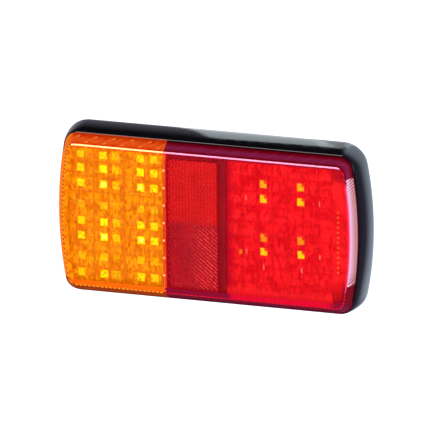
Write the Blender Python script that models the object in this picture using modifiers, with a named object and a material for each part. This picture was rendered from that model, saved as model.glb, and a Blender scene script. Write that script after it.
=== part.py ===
"""Combination rear lamp for a trailer: a sealed LED module that pushes onto a screwed-down base.

Frame: metres, +Z up, X along the lamp, the lenses face -Y, and the mounting plane is y = 0.
A height is a distance in front of the mounting plane, so a point at height h lies at y = -h.
"""
import math

import bmesh
import bpy
from mathutils import Matrix, Vector

MM = 0.001

# ---------------------------------------------------------------- driving dimensions
GAP = 0.3 * MM                      # clearance between pieces that touch


def section(width, height, bulge, corner):
    """A rectangle in mm whose two ends bow outwards by bulge, with rounded corners."""
    return (width * MM, height * MM, bulge * MM, corner * MM)


RIM = section(150.0, 80.8, 4.9, 11.5)       # widest outline of the base
LIP = section(142.4, 75.1, 3.8, 6.2)        # lens outline where it leaves the base
FACE = section(137.2, 67.8, 3.1, 4.0)       # front edge of the lens
TRAY = section(115.6, 67.2, 0.4, 4.0)       # outside of the module tray's well
END_STEPS = 5
CORNER_STEPS = 5
MIN_CORNER = 0.4 * MM

RIM_HEIGHT = 1.2 * MM
LIP_HEIGHT = 13.2 * MM
FACE_HEIGHT = 19.4 * MM
CROWN = 0.5 * MM                            # how far the face domes in its middle
EDGE_RADIUS = 1.0 * MM
LENS_WALL = 2.0 * MM

PAD_THICKNESS = 1.2 * MM
FLOOR_LOW = PAD_THICKNESS + GAP             # base floor
FLOOR_HIGH = FLOOR_LOW + 1.8 * MM
REAR_RIM_WALL = 3.0 * MM
LEDGE_HEIGHT = 8.0 * MM                     # step inside the base that carries the seal
LEDGE_INSET = 2.5 * MM
LIP_FLAT = 0.8 * MM
SHOULDER_POWER = 1.3
SHOULDER_STEPS = (0.0, 0.3, 0.55, 0.75, 0.9, 0.975, 1.0)

SEAL_LOW = LEDGE_HEIGHT + GAP
SEAL_HIGH = SEAL_LOW + 1.4 * MM
TRAY_LOW = FLOOR_HIGH + GAP
TRAY_FLOOR = TRAY_LOW + 1.4 * MM
TRAY_WALL = 1.4 * MM
FLANGE_LOW = SEAL_HIGH + GAP
FLANGE_HIGH = FLANGE_LOW + 1.2 * MM
FOOT = FLANGE_HIGH + GAP                    # lower edge of the lenses

BOARD_SIZE = (109.0 * MM, 62.0 * MM)
STANDOFF_HIGH = TRAY_FLOOR + 0.3 * MM
BOARD_LOW = STANDOFF_HIGH + GAP
BOARD_HIGH = BOARD_LOW + 1.6 * MM
ON_BOARD = BOARD_HIGH + GAP                 # where parts on the board start
LED_SIZE = 5.0 * MM
LED_HIGH = ON_BOARD + 1.6 * MM
LED_ROWS = (12.7 * MM, -12.7 * MM)
INDICATOR_COLUMNS = (-51.7 * MM, -34.0 * MM)
STOP_TAIL_COLUMNS = (24.9 * MM, 42.5 * MM)

BOX_FLOOR = FOOT + 0.8 * MM                 # light boxes over the board
BOX_HIGH = 15.5 * MM
BOX_INSET = 2.5 * MM
BOX_WALL = 0.8 * MM
LED_PORT = 7.0 * MM
OPTIC_LOW = BOX_HIGH + GAP
OPTIC_HIGH = OPTIC_LOW + 1.2 * MM

SEAM_X = -19.6 * MM                         # where the amber and red lenses meet
REFLEX_X = (-18.4 * MM, 6.3 * MM)
REFLEX_HALF_HEIGHT = 31.2 * MM
WINDOW_Z = (-23.2 * MM, 28.2 * MM)          # number plate window in the +X end
WINDOW_HEIGHT = (13.4 * MM, 18.4 * MM)
AMBER_BAFFLE_X = (-20.6 * MM, -19.1 * MM)
REFLEX_BAFFLE_X = (6.6 * MM, 9.2 * MM)
PLATE_BAFFLE_X = (60.4 * MM, 61.2 * MM)
BAFFLE_HALF_HEIGHT = 31.6 * MM
BACKING_HEIGHT = (15.9 * MM, 17.1 * MM)     # white sheet behind the reflector

STUD_X = 63.5 * MM                          # M5 mounting screws
STUD_RADIUS = 2.35 * MM
STUD_HOLE = 2.75 * MM
STUD_HEAD = 4.9                             # turned profiles are in mm
STUD_TAIL = -13.0
PANEL = 3.0 * MM                            # vehicle panel clamped by the nuts
PEG_X = 62.5 * MM
PEG_Z = 20.0 * MM
PEG_RADIUS = 2.0 * MM
SOCKET_RADIUS = 3.6 * MM
BOARD_SCREW_X = 50.5 * MM
BOARD_SCREW_Z = 27.5 * MM
CABLE_X = -5.2 * MM
CABLE_Z = -14.0 * MM
GROMMET_BORE = 3.5 * MM
GLAND_BORE = 3.25 * MM
FAR = 100.0 * MM                            # reach of a cutter past the lamp

# name: (red, green, blue, alpha), roughness, metallic
FINISHES = {
    "black_plastic": ((0.012, 0.012, 0.015, 1.0), 0.18, 0.0),
    "tray_plastic": ((0.03, 0.03, 0.032, 1.0), 0.45, 0.0),
    "rubber": ((0.02, 0.02, 0.02, 1.0), 0.8, 0.0),
    "foam": ((0.035, 0.035, 0.037, 1.0), 0.95, 0.0),
    "zinc_steel": ((0.62, 0.63, 0.65, 1.0), 0.3, 1.0),
    "amber_lens": ((1.0, 0.33, 0.0, 0.7), 0.06, 0.0),
    "red_lens": ((0.8, 0.0, 0.01, 0.75), 0.06, 0.0),
    "reflex_red": ((0.55, 0.0, 0.015, 1.0), 0.15, 0.0),
    "clear_lens": ((0.9, 0.88, 0.9, 0.4), 0.05, 0.0),
    "white_plastic": ((0.82, 0.82, 0.8, 1.0), 0.35, 0.0),
    "circuit_board": ((0.02, 0.2, 0.07, 1.0), 0.4, 0.0),
    "led_body": ((0.85, 0.83, 0.7, 1.0), 0.3, 0.0),
    "component": ((0.04, 0.04, 0.045, 1.0), 0.35, 0.0),
    "capacitor_can": ((0.5, 0.52, 0.56, 1.0), 0.35, 0.8),
    "terminal_green": ((0.03, 0.3, 0.12, 1.0), 0.4, 0.0),
}


# ---------------------------------------------------------------- scene set-up
def clear_scene():
    for old in list(bpy.data.objects):
        bpy.data.objects.remove(old, do_unlink=True)


def new_collection(name):
    collection = bpy.data.collections.new(name)
    bpy.context.scene.collection.children.link(collection)
    return collection


def make_finish(name):
    colour, roughness, metallic = FINISHES[name]
    material = bpy.data.materials.new(name)
    material.use_nodes = True
    shader = material.node_tree.nodes["Principled BSDF"]
    shader.inputs["Base Color"].default_value = colour[:3] + (1.0,)
    shader.inputs["Alpha"].default_value = colour[3]
    shader.inputs["Roughness"].default_value = roughness
    shader.inputs["Metallic"].default_value = metallic
    material.diffuse_color = colour
    return material


def new_empty(name):
    empty = bpy.data.objects.new(name, None)
    LAMP.objects.link(empty)
    return empty


clear_scene()
LAMP = new_collection("trailer_tail_light")
CUTTERS = new_collection("cutters")
FINISH = {name: make_finish(name) for name in FINISHES}
BASE = new_empty("mounting_base")
MODULE = new_empty("lamp_module")


# ---------------------------------------------------------------- outlines
def blend(first, second, share):
    return tuple(a + (b - a) * share for a, b in zip(first, second))


def outline(shape, inset=0.0):
    """Points (x, z) round a section, anticlockwise from the middle of its +X end."""
    width, height, bulge, corner = shape
    half = height / 2
    end_radius = (half ** 2 + bulge ** 2) / (2 * bulge)
    end_x = width / 2 - end_radius
    end_radius -= inset
    half -= inset
    corner = max(corner - inset, MIN_CORNER)
    corner_z = half - corner
    corner_x = end_x + math.sqrt((end_radius - corner) ** 2 - corner_z ** 2)
    turn = math.atan2(corner_z, corner_x - end_x)
    quadrant = []
    for step in range(END_STEPS + 1):
        angle = turn * step / END_STEPS
        quadrant.append((end_x + end_radius * math.cos(angle), end_radius * math.sin(angle)))
    for step in range(1, CORNER_STEPS + 1):
        angle = turn + (math.pi / 2 - turn) * step / CORNER_STEPS
        quadrant.append((corner_x + corner * math.cos(angle), corner_z + corner * math.sin(angle)))
    upper = quadrant + [(-x, z) for x, z in reversed(quadrant)]
    return upper + [(-x, -z) for x, z in upper[1:-1]]


def ring(shape, height, inset=0.0):
    return [(x, -height, z) for x, z in outline(shape, inset)]


def lens_section(height):
    """The lens's outer section: straight inside the base, then drafted towards the face."""
    share = (height - LIP_HEIGHT) / (FACE_HEIGHT - LIP_HEIGHT)
    return blend(LIP, FACE, max(share, 0.0))


def lens_ring(height, inset=0.0):
    return ring(lens_section(height), height, inset)


# ---------------------------------------------------------------- makers
def place(name, mesh, finish, parent):
    piece = bpy.data.objects.new(name, mesh)
    if finish is None:
        CUTTERS.objects.link(piece)
        piece.hide_render = True
        piece.display_type = "WIRE"
    else:
        LAMP.objects.link(piece)
        mesh.materials.append(FINISH[finish])
        piece.parent = parent
    return piece


def mesh_from(name, shape, sharp_degrees=35):
    bmesh.ops.recalc_face_normals(shape, faces=shape.faces)
    mesh = bpy.data.meshes.new(name)
    shape.to_mesh(mesh)
    shape.free()
    mesh.shade_smooth()
    mesh.set_sharp_from_angle(angle=math.radians(sharp_degrees))
    return mesh


def loft(name, rings, finish=None, parent=None, closed=False):
    """A solid through equal rings: capped at both ends, or closed back onto the first ring."""
    shape = bmesh.new()
    loops = [[shape.verts.new(point) for point in points] for points in rings]
    pairs = list(zip(loops, loops[1:]))
    if closed:
        pairs.append((loops[-1], loops[0]))
    else:
        shape.faces.new(loops[0])
        shape.faces.new(loops[-1])
    for near, far in pairs:
        for index in range(len(near)):
            after = (index + 1) % len(near)
            shape.faces.new((near[index], near[after], far[after], far[index]))
    return place(name, mesh_from(name, shape), finish, parent)


def box(name, x_range, heights, z_range, finish=None, parent=None, bevel=0.0):
    low = Vector((x_range[0], -heights[1], z_range[0]))
    high = Vector((x_range[1], -heights[0], z_range[1]))
    size = high - low
    shape = bmesh.new()
    bmesh.ops.create_cube(shape, size=1.0, matrix=Matrix.Diagonal((*size, 1.0)))
    piece = place(name, mesh_from(name, shape), finish, parent)
    piece.location = (low + high) / 2
    if bevel:
        edge = piece.modifiers.new("edge", "BEVEL")
        edge.width = bevel
        edge.segments = 1
    return piece


def rod(name, x, z, radius, heights, finish=None, parent=None, sides=16):
    """A cylinder or, with six sides, a hexagon along Y."""
    shape = bmesh.new()
    bmesh.ops.create_cone(shape, cap_ends=True, segments=sides, radius1=radius, radius2=radius,
                          depth=heights[1] - heights[0])
    piece = place(name, mesh_from(name, shape), finish, parent)
    piece.location = (x, -(heights[0] + heights[1]) / 2, z)
    piece.rotation_euler = (math.pi / 2, 0, 0)
    return piece


def turned(name, x, z, profile, finish, parent, closed=False, steps=20):
    """A profile of (radius, height) points in mm, run down its outer side, turned about Y."""
    points = [(radius * MM, 0.0, height * MM) for radius, height in profile]
    edges = [(index, index + 1) for index in range(len(points) - 1)]
    if closed:
        edges.append((len(points) - 1, 0))
    mesh = bpy.data.meshes.new(name)
    mesh.from_pydata(points, edges, [])
    piece = place(name, mesh, finish, parent)
    piece.location = (x, 0.0, z)
    piece.rotation_euler = (math.pi / 2, 0, 0)
    turn = piece.modifiers.new("turn", "SCREW")
    turn.axis = "Z"
    turn.steps = steps
    turn.render_steps = steps
    turn.use_merge_vertices = True
    turn.merge_threshold = 0.00001
    return piece


def combine(piece, operation, *others):
    for other in others:
        step = piece.modifiers.new(other.name, "BOOLEAN")
        step.operation = operation
        step.object = other


def slab(name, x_low, x_high):
    """A cutter that takes in everything between two x values."""
    return box(name, (x_low, x_high), (-FAR, FAR), (-FAR, FAR))


# ---------------------------------------------------------------- mounting base
def shoulder_rings():
    """The base's flank, from its widest outline round to its front lip."""
    width, height, bulge, corner = LIP
    lip_outside = (width + 2 * LIP_FLAT, height + 2 * LIP_FLAT, bulge, corner + LIP_FLAT)
    rings = []
    for rise in SHOULDER_STEPS:
        spread = (1 - rise ** SHOULDER_POWER) ** (1 / SHOULDER_POWER)
        level = RIM_HEIGHT + (LIP_HEIGHT - RIM_HEIGHT) * rise
        rings.append(ring(blend(lip_outside, RIM, spread), level))
    return rings


def make_base_housing():
    rings = [
        ring(RIM, FLOOR_LOW, REAR_RIM_WALL),
        ring(RIM, 0.0, REAR_RIM_WALL),
        ring(RIM, 0.0, 0.7 * MM),
        ring(RIM, 0.35 * MM, 0.15 * MM),
        *shoulder_rings(),
        ring(LIP, LIP_HEIGHT, -GAP - 0.25 * MM),
        ring(LIP, LIP_HEIGHT - 0.25 * MM, -GAP),
        ring(LIP, LEDGE_HEIGHT, -GAP),
        ring(LIP, LEDGE_HEIGHT, LEDGE_INSET),
        ring(LIP, FLOOR_HIGH, LEDGE_INSET),
    ]
    housing = loft("base_housing", rings, "black_plastic", BASE)
    for side, x in SIDES:
        hole = rod(f"stud_hole_{side}", x, 0.0, STUD_HOLE, (-FAR, FAR))
        combine(housing, "DIFFERENCE", hole)
    combine(housing, "DIFFERENCE", rod("cable_hole", CABLE_X, CABLE_Z, 7.2 * MM, (-FAR, FAR), sides=24))
    inside = FLOOR_HIGH - 0.5 * MM
    for index, (x, z) in enumerate(peg_places()):
        combine(housing, "UNION", rod(f"peg_{index}", x, z, PEG_RADIUS, (inside, 8.8 * MM)))


def peg_places():
    return [(x, z) for x in (-PEG_X, PEG_X) for z in (-PEG_Z, PEG_Z)]


SIDES = (("left", -STUD_X), ("right", STUD_X))


def make_gasket():
    inset = REAR_RIM_WALL + GAP
    rings = [ring(RIM, 0.0, inset), ring(RIM, PAD_THICKNESS, inset)]
    pad = loft("mounting_gasket", rings, "foam", BASE)
    for side, x in SIDES:
        combine(pad, "DIFFERENCE", rod(f"pad_hole_{side}", x, 0.0, 3.0 * MM, (-FAR, FAR)))
    combine(pad, "DIFFERENCE", rod("pad_cable_hole", CABLE_X, CABLE_Z, 8.5 * MM, (-FAR, FAR), sides=24))


def make_mounting_screws():
    for side, x in SIDES:
        radius = STUD_RADIUS / MM
        head = [(0, 8.4), (2.2, 8.3), (3.8, 7.6), (4.6, 6.4), (4.6, STUD_HEAD)]
        shank = [(radius, STUD_HEAD), (radius, STUD_TAIL + 0.6), (radius - 0.55, STUD_TAIL), (0, STUD_TAIL)]
        screw = turned(f"mounting_screw_{side}", x, 0.0, head + shank, "zinc_steel", BASE)
        reach = 2.3 * MM
        blade = 0.5 * MM
        depth = (6.6 * MM, 9.0 * MM)
        across = box(f"recess_across_{side}", (x - reach, x + reach), depth, (-blade, blade))
        upright = box(f"recess_upright_{side}", (x - blade, x + blade), depth, (-reach, reach))
        combine(across, "UNION", upright)
        combine(screw, "DIFFERENCE", across)
        washer = [(2.75, 4.6), (4.9, 4.6), (4.9, 3.6), (2.75, 3.6)]
        turned(f"screw_washer_{side}", x, 0.0, washer, "zinc_steel", BASE, closed=True)
        nut = rod(f"mounting_nut_{side}", x, 0.0, 4.6 * MM, (-PANEL - 4.3 * MM, -PANEL - GAP),
                  "zinc_steel", BASE, sides=6)
        combine(nut, "DIFFERENCE", rod(f"nut_bore_{side}", x, 0.0, STUD_RADIUS + GAP, (-FAR, FAR)))


def make_cable_grommet():
    bore = GROMMET_BORE / MM
    profile = [(bore, 3.3), (6.9, 3.3), (6.9, 1.2), (8.2, 1.2), (8.2, 0.2), (8.0, 0.0), (bore, 0.0)]
    turned("cable_grommet", CABLE_X, CABLE_Z, profile, "rubber", BASE, closed=True, steps=24)


# ---------------------------------------------------------------- module tray
def board_screw_places():
    return [(x, z) for x in (-BOARD_SCREW_X, BOARD_SCREW_X) for z in (-BOARD_SCREW_Z, BOARD_SCREW_Z)]


def make_module_tray():
    rings = [
        ring(TRAY, TRAY_LOW),
        ring(TRAY, FLANGE_LOW),
        ring(LIP, FLANGE_LOW, GAP),
        ring(LIP, FLANGE_HIGH, GAP),
        ring(TRAY, FLANGE_HIGH, TRAY_WALL),
        ring(TRAY, TRAY_FLOOR, TRAY_WALL),
    ]
    tray = loft("module_tray", rings, "tray_plastic", MODULE)
    socket_low = TRAY_LOW + 0.6 * MM
    for index, (x, z) in enumerate(peg_places()):
        sleeve = rod(f"socket_{index}", x, z, SOCKET_RADIUS, (socket_low, FLANGE_LOW + 0.4 * MM))
        combine(tray, "UNION", sleeve)
    for index, (x, z) in enumerate(board_screw_places()):
        standoff = rod(f"standoff_{index}", x, z, 2.6 * MM, (TRAY_FLOOR - 0.4 * MM, STANDOFF_HIGH))
        combine(tray, "UNION", standoff)
    for index, (x, z) in enumerate(peg_places()):
        bore = rod(f"socket_bore_{index}", x, z, PEG_RADIUS + GAP, (0.0, 9.2 * MM))
        combine(tray, "DIFFERENCE", bore)
    for index, (x, z) in enumerate(board_screw_places()):
        pilot = rod(f"pilot_{index}", x, z, 1.3 * MM, (TRAY_LOW + 0.4 * MM, FLANGE_HIGH), sides=10)
        combine(tray, "DIFFERENCE", pilot)
    combine(tray, "DIFFERENCE", rod("gland_hole", CABLE_X, CABLE_Z, 6.0 * MM, (-FAR, FAR), sides=24))


def make_module_seal():
    outer, inner = 0.2 * MM, 2.0 * MM
    rings = [ring(LIP, SEAL_LOW, outer), ring(LIP, SEAL_HIGH, outer),
             ring(LIP, SEAL_HIGH, inner), ring(LIP, SEAL_LOW, inner)]
    loft("module_seal", rings, "rubber", MODULE, closed=True)


def make_cable_gland():
    bore = GLAND_BORE / MM
    profile = [(bore, 10.5), (4.4, 10.5), (4.9, 6.6), (7.8, 6.6), (7.8, 5.3), (5.7, 5.3),
               (5.7, 3.6), (bore, 3.6)]
    turned("cable_gland", CABLE_X, CABLE_Z, profile, "rubber", MODULE, closed=True, steps=24)


# ---------------------------------------------------------------- lenses
def crown_rings(thickness):
    """Rings across the domed face, from near its edge to its middle."""
    half = FACE[1] / 2
    rings = []
    for inset in (9.0 * MM, 19.0 * MM, 29.0 * MM):
        dome = CROWN * (1 - (1 - inset / half) ** 2)
        rings.append(ring(FACE, FACE_HEIGHT + dome - thickness, inset))
    return rings


def lens_shell(name, finish):
    """The whole cover as one shell. Each lens keeps only its own share of it."""
    slope = math.atan2((LIP[1] - FACE[1]) / 2, FACE_HEIGHT - LIP_HEIGHT)
    tangent = EDGE_RADIUS * math.tan((math.pi / 2 - slope) / 2)
    inside_edge = FACE_HEIGHT - LENS_WALL
    outer = [
        lens_ring(FOOT),
        lens_ring(LIP_HEIGHT),
        lens_ring(FACE_HEIGHT - tangent * math.cos(slope)),
        ring(FACE, FACE_HEIGHT - 0.1 * MM, 0.1 * MM),
        ring(FACE, FACE_HEIGHT, tangent),
        *crown_rings(0.0),
    ]
    inner = [
        lens_ring(FOOT, LENS_WALL),
        lens_ring(LIP_HEIGHT, LENS_WALL),
        lens_ring(inside_edge - 0.2 * MM, LENS_WALL),
        ring(FACE, inside_edge, 1.2 * MM),
        *crown_rings(LENS_WALL),
    ]
    return loft(name, inner[::-1] + outer, finish, MODULE)


def reflex_zone(name, margin):
    x_range = (REFLEX_X[0] - margin, REFLEX_X[1] + margin)
    z_range = (-REFLEX_HALF_HEIGHT - margin, REFLEX_HALF_HEIGHT + margin)
    return box(name, x_range, (15.0 * MM, 22.0 * MM), z_range)


def window_zone(name, margin):
    """The stretch of the +X end wall that the number plate window fills."""
    x_range = (FACE[0] / 2 - 8.0 * MM, FAR)
    heights = (WINDOW_HEIGHT[0] - margin, WINDOW_HEIGHT[1] + margin)
    z_range = (WINDOW_Z[0] - margin, WINDOW_Z[1] + margin)
    zone = box(name, x_range, heights, z_range)
    inset = 2.6 * MM + margin
    core = loft(name + "_core", [ring(FACE, 10.0 * MM, inset), ring(FACE, 22.0 * MM, inset)])
    combine(zone, "DIFFERENCE", core)
    return zone


def make_lenses():
    half_gap = GAP / 2
    amber = lens_shell("lens_amber", "amber_lens")
    combine(amber, "INTERSECT", slab("amber_share", -FAR, SEAM_X - half_gap))
    red = lens_shell("lens_red", "red_lens")
    combine(red, "INTERSECT", slab("red_share", SEAM_X + half_gap, FAR))
    combine(red, "DIFFERENCE", reflex_zone("reflex_opening", half_gap))
    combine(red, "DIFFERENCE", window_zone("window_opening", half_gap))
    reflex = lens_shell("reflex_reflector", "reflex_red")
    combine(reflex, "INTERSECT", reflex_zone("reflex_share", -half_gap))
    window = lens_shell("plate_window", "clear_lens")
    combine(window, "INTERSECT", window_zone("window_share", -half_gap))


# ---------------------------------------------------------------- light chambers
def make_light_box(name, x_low, x_high, columns):
    rings = [
        lens_ring(FOOT, BOX_INSET),
        lens_ring(LIP_HEIGHT, BOX_INSET),
        lens_ring(BOX_HIGH, BOX_INSET),
        lens_ring(BOX_HIGH, BOX_INSET + BOX_WALL),
        lens_ring(LIP_HEIGHT, BOX_INSET + BOX_WALL),
        lens_ring(BOX_FLOOR, BOX_INSET + BOX_WALL),
    ]
    light_box = loft(name, rings, "white_plastic", MODULE)
    combine(light_box, "INTERSECT", slab(name + "_share", x_low, x_high))
    half = LED_PORT / 2
    for column, x in enumerate(columns):
        for row, z in enumerate(LED_ROWS):
            port = box(f"{name}_port_{column}{row}", (x - half, x + half), (FLANGE_LOW, BOX_HIGH),
                       (z - half, z + half))
            combine(light_box, "DIFFERENCE", port)


def make_optic(name, x_low, x_high, finish):
    plate = loft(name, [lens_ring(OPTIC_LOW, BOX_INSET), lens_ring(OPTIC_HIGH, BOX_INSET)],
                 finish, MODULE)
    combine(plate, "INTERSECT", slab(name + "_share", x_low, x_high))


def make_baffle(name, x_range, low):
    z_range = (-BAFFLE_HALF_HEIGHT, BAFFLE_HALF_HEIGHT)
    return box(name, x_range, (low, OPTIC_HIGH), z_range, "tray_plastic", MODULE)


def make_chambers():
    amber_edge = AMBER_BAFFLE_X[0] - GAP
    red_edges = (REFLEX_BAFFLE_X[1] + GAP, PLATE_BAFFLE_X[0] - GAP)
    make_light_box("indicator_reflector", -FAR, amber_edge, INDICATOR_COLUMNS)
    make_light_box("stop_tail_reflector", *red_edges, STOP_TAIL_COLUMNS)
    make_optic("indicator_optic", -FAR, amber_edge, "amber_lens")
    make_optic("stop_tail_optic", *red_edges, "red_lens")
    make_baffle("amber_baffle", AMBER_BAFFLE_X, ON_BOARD)
    make_baffle("reflex_baffle", REFLEX_BAFFLE_X, ON_BOARD)
    make_baffle("plate_baffle", PLATE_BAFFLE_X, FOOT)
    x_range = (AMBER_BAFFLE_X[1] + GAP, REFLEX_BAFFLE_X[0] - GAP)
    z_range = (-BAFFLE_HALF_HEIGHT, BAFFLE_HALF_HEIGHT)
    box("reflector_backing", x_range, BACKING_HEIGHT, z_range, "white_plastic", MODULE)


# ---------------------------------------------------------------- electrics
def make_circuit_board():
    width, height = BOARD_SIZE
    board = box("circuit_board", (-width / 2, width / 2), (BOARD_LOW, BOARD_HIGH),
                (-height / 2, height / 2), "circuit_board", MODULE)
    combine(board, "DIFFERENCE", rod("board_gland_hole", CABLE_X, CABLE_Z, 8.6 * MM, (-FAR, FAR), sides=24))
    for index, (x, z) in enumerate(board_screw_places()):
        hole = rod(f"board_hole_{index}", x, z, 1.4 * MM, (-FAR, FAR), sides=10)
        combine(board, "DIFFERENCE", hole)
        profile = [(0, 8.8), (1.5, 8.7), (2.2, 8.1), (2.2, 7.5), (1.0, 7.5), (1.0, 4.9), (0, 4.3)]
        turned(f"board_screw_{index + 1}", x, z, profile, "zinc_steel", MODULE, steps=12)


def make_leds():
    for name, columns in (("indicator_led", INDICATOR_COLUMNS), ("stop_tail_led", STOP_TAIL_COLUMNS)):
        places = [(x, z) for x in columns for z in LED_ROWS]
        for index, (x, z) in enumerate(places):
            half = LED_SIZE / 2
            led = box(f"{name}_{index + 1}", (x - half, x + half), (ON_BOARD, LED_HIGH),
                      (z - half, z + half), "led_body", MODULE, bevel=0.2 * MM)
            well = rod(f"{name}_well_{index + 1}", x, z, 1.9 * MM, (LED_HIGH - 0.5 * MM, FAR), sides=14)
            combine(led, "DIFFERENCE", well)


def make_plate_light():
    x = PLATE_BAFFLE_X[1] + 0.4 * MM
    board_x = (x, x + 1.0 * MM)
    box("plate_board", board_x, (FOOT, OPTIC_HIGH - 0.2 * MM), (-20.0 * MM, 26.0 * MM),
        "circuit_board", MODULE)
    led_x = (board_x[1] + GAP, board_x[1] + GAP + 1.3 * MM)
    for index, z in enumerate((-10.0 * MM, 16.0 * MM)):
        half = 1.5 * MM
        box(f"plate_led_{index + 1}", led_x, (12.4 * MM, 15.4 * MM), (z - half, z + half),
            "led_body", MODULE, bevel=0.2 * MM)


def make_components():
    resistor_z = (27.0 * MM, 22.5 * MM, 18.0 * MM, 13.5 * MM)
    for index, z in enumerate(resistor_z):
        box(f"resistor_{index + 1}", (-14.5 * MM, -8.1 * MM), (ON_BOARD, ON_BOARD + 0.8 * MM),
            (z - 1.6 * MM, z + 1.6 * MM), "component", MODULE)
    box("protection_diode", (-3.0 * MM, 1.6 * MM), (ON_BOARD, ON_BOARD + 2.3 * MM),
        (24.0 * MM, 27.6 * MM), "component", MODULE, bevel=0.3 * MM)
    can = [(0, 13.4), (2.9, 13.4), (3.15, 13.1), (3.15, 9.0), (2.9, 8.7), (3.15, 8.4),
           (3.15, 7.5), (0, 7.5)]
    turned("smoothing_capacitor", -0.5 * MM, 16.5 * MM, can, "capacitor_can", MODULE, steps=16)
    block_x = (-12.5 * MM, 2.1 * MM)
    block = box("terminal_block", block_x, (ON_BOARD, 13.6 * MM), (-1.5 * MM, 7.0 * MM),
                "terminal_green", MODULE, bevel=0.4 * MM)
    for index in range(3):
        x = CABLE_X + (index - 1) * 4.6 * MM
        mouth = box(f"wire_mouth_{index}", (x - 1.5 * MM, x + 1.5 * MM), (8.6 * MM, 11.6 * MM),
                    (-2.5 * MM, 1.5 * MM))
        screw = rod(f"clamp_well_{index}", x, 4.0 * MM, 1.6 * MM, (12.2 * MM, FAR), sides=12)
        combine(block, "DIFFERENCE", mouth, screw)


make_base_housing()
make_gasket()
make_mounting_screws()
make_cable_grommet()
make_module_tray()
make_module_seal()
make_cable_gland()
make_lenses()
make_chambers()
make_circuit_board()
make_leds()
make_plate_light()
make_components()
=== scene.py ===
from collections import namedtuple
from math import atan2, ceil, cos, dist, pi, radians, sin, sqrt, tan, tau

import bmesh
import bpy
from mathutils import Matrix, Vector


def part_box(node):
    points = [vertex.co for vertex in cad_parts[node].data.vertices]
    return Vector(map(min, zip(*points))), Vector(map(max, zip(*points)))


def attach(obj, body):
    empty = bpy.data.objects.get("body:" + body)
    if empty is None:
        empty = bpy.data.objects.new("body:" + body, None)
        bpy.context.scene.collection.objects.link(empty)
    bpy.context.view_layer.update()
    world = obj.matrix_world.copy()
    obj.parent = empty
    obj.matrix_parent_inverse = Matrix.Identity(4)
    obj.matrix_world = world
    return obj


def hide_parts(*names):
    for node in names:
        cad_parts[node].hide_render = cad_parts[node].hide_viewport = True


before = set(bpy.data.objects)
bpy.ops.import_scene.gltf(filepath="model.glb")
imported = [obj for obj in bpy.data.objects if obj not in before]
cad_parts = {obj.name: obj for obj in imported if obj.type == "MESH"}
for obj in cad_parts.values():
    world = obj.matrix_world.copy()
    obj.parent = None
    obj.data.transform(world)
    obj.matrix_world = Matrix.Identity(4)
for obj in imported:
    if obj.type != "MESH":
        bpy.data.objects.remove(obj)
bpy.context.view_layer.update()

MM = 0.001
GAP = 0.3 * MM  # between the amber lens and the red one
BASE = "mounting_base"
MODULE = "lamp_module"


# ======== the design's driving sections
def section(width, height, bulge, corner):
    """A rectangle in mm whose two ends bow outwards by bulge, with rounded corners."""
    return (width * MM, height * MM, bulge * MM, corner * MM)


RIM = section(150.0, 80.8, 4.9, 11.5)
LIP = section(142.4, 75.1, 3.8, 6.2)
FACE = section(137.2, 67.8, 3.1, 4.0)
RIM_HEIGHT = 1.2 * MM
LIP_HEIGHT = 13.2 * MM
FACE_HEIGHT = 19.4 * MM
CROWN = 0.5 * MM
LENS_WALL = 1.6 * MM
EDGE_RADIUS = 1.0 * MM
END_STEPS = 14
CORNER_STEPS = 10
MIN_CORNER = 0.4 * MM
FAR = 0.1  # past the whole lamp, for throw-away cutters
ALL = (-FAR, FAR)

SEAM_X = (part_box("lens_amber")[1].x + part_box("lens_red")[0].x) / 2
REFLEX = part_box("reflex_reflector")
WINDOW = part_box("plate_window")
FOOT = -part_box("lens_red")[1].y
AMBER_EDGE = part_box("indicator_optic")[1].x
RED_EDGES = (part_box("stop_tail_optic")[0].x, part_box("stop_tail_optic")[1].x)


def blend(first, second, share):
    return tuple(a + (b - a) * share for a, b in zip(first, second))


def arc(x, z, radius, start, end, steps):
    """Points along an arc round (x, z), from one angle to another."""
    angles = [start + (end - start) * step / steps for step in range(steps + 1)]
    return [(x + radius * cos(angle), z + radius * sin(angle)) for angle in angles]


def outline(shape, inset=0.0):
    """Points (x, z) round a section, anticlockwise from the middle of its +X end."""
    width, height, bulge, corner = shape
    half = height / 2
    end_radius = (half ** 2 + bulge ** 2) / (2 * bulge)
    end_x = width / 2 - end_radius
    end_radius -= inset
    half -= inset
    corner = max(corner - inset, MIN_CORNER)
    corner_z = half - corner
    corner_x = end_x + sqrt((end_radius - corner) ** 2 - corner_z ** 2)
    turn = atan2(corner_z, corner_x - end_x)
    quadrant = arc(end_x, 0.0, end_radius, 0.0, turn, END_STEPS)
    quadrant += arc(corner_x, corner_z, corner, turn, pi / 2, CORNER_STEPS)[1:]
    upper = quadrant + [(-x, z) for x, z in reversed(quadrant)]
    return upper + [(-x, -z) for x, z in upper[1:-1]]


def ring(shape, height, inset=0.0):
    return [(x, -height, z) for x, z in outline(shape, inset)]


def lens_section(height):
    share = (height - LIP_HEIGHT) / (FACE_HEIGHT - LIP_HEIGHT)
    return blend(LIP, FACE, max(share, 0.0))


# ======== mesh makers
def smooth(mesh, degrees):
    """Smooth shading, with sharp edges where faces meet at more than the angle."""
    mesh.shade_smooth()
    mesh.set_sharp_from_angle(angle=radians(degrees))


def object_from(name, shape, smooth_degrees=32, recalculate=True):
    if recalculate:
        bmesh.ops.recalc_face_normals(shape, faces=shape.faces)
    mesh = bpy.data.meshes.new(name)
    shape.to_mesh(mesh)
    shape.free()
    smooth(mesh, smooth_degrees)
    piece = bpy.data.objects.new(name, mesh)
    bpy.context.scene.collection.objects.link(piece)
    return piece


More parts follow.
